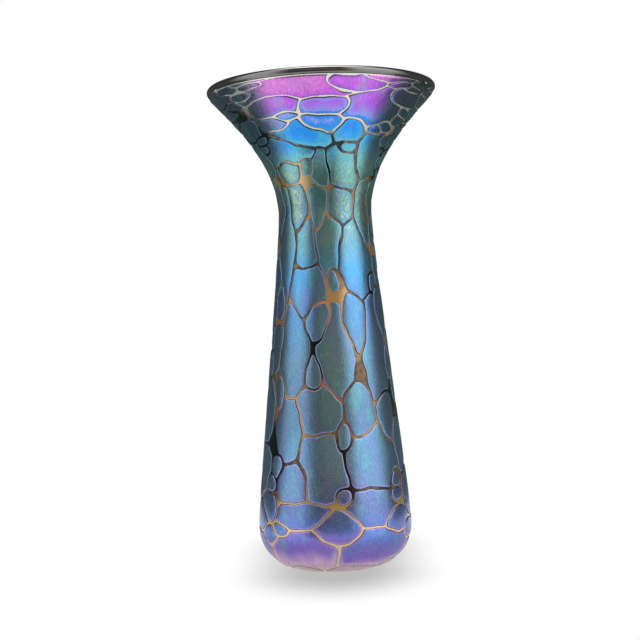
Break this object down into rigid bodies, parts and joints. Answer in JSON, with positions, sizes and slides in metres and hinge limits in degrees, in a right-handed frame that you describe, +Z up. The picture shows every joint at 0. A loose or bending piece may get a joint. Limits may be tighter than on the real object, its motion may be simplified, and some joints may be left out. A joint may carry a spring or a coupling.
{
  "type": "art glass vase",
  "caption": "Trumpet-necked hand blown vase: dark cased glass under a crackled silver-lustre skin, with a wrapped lip and a ground foot.",
  "frame": {"origin": "on the floor, under the middle of the foot", "axes": "+Z up along the vase's axis, from the foot to the lip; -Y faces the front"},
  "size_m": [0.122, 0.122, 0.254],
  "materials": {
    "gather_glass": "fire-polished dark grey glass, seen only inside the mouth",
    "casing_glass": "glossy black glass with a gold metallic fume in the cracks",
    "lip_glass": "fire-polished black glass bead",
    "lustre_flare": "satin iridescent silver lustre, violet to azure",
    "lustre_neck": "satin iridescent silver lustre, cyan and teal",
    "lustre_body": "satin iridescent silver lustre, blue and periwinkle",
    "lustre_heel": "satin iridescent silver lustre, lavender to pink"
  },
  "bodies": {
    "root": {"inner_gather": "gather_glass", "dark_casing": "casing_glass", "lip_wrap": "lip_glass", "skin_island_01": "lustre_flare", "skin_island_02": "lustre_flare", "skin_island_03": "lustre_flare", "skin_island_04": "lustre_flare", "skin_island_05": "lustre_flare", "skin_island_06": "lustre_flare", "skin_island_07": "lustre_flare", "skin_island_08": "lustre_flare", "skin_island_09": "lustre_neck", "skin_island_10": "lustre_neck", "skin_island_11": "lustre_neck", "skin_island_12": "lustre_neck", "skin_island_13": "lustre_neck", "skin_island_14": "lustre_neck", "skin_island_15": "lustre_neck", "skin_island_16": "lustre_neck", "skin_island_17": "lustre_neck", "skin_island_18": "lustre_neck", "skin_island_19": "lustre_neck", "skin_island_20": "lustre_neck", "skin_island_21": "lustre_body", "skin_island_22": "lustre_body", "skin_island_23": "lustre_body", "skin_island_24": "lustre_body", "skin_island_25": "lustre_body", "skin_island_26": "lustre_body", "skin_island_27": "lustre_body", "skin_island_28": "lustre_body", "skin_island_29": "lustre_body", "skin_island_30": "lustre_heel", "skin_island_31": "lustre_heel", "skin_island_32": "lustre_heel", "skin_island_33": "lustre_heel", "skin_island_34": "lustre_heel", "skin_island_35": "lustre_heel", "skin_island_36": "lustre_heel", "skin_island_37": "lustre_flare", "skin_island_38": "lustre_flare", "skin_island_39": "lustre_flare", "skin_island_40": "lustre_neck", "skin_island_41": "lustre_neck", "skin_island_42": "lustre_neck", "skin_island_43": "lustre_neck", "skin_island_44": "lustre_neck", "skin_island_45": "lustre_neck", "skin_island_46": "lustre_body", "skin_island_47": "lustre_body", "skin_island_48": "lustre_body", "skin_island_49": "lustre_body", "skin_island_50": "lustre_body", "skin_island_51": "lustre_body", "skin_island_52": "lustre_heel", "skin_island_53": "lustre_heel", "skin_island_54": "lustre_heel", "skin_island_55": "lustre_heel", "skin_island_56": "lustre_heel", "skin_island_57": "lustre_heel"}
  },
  "joints": []
}
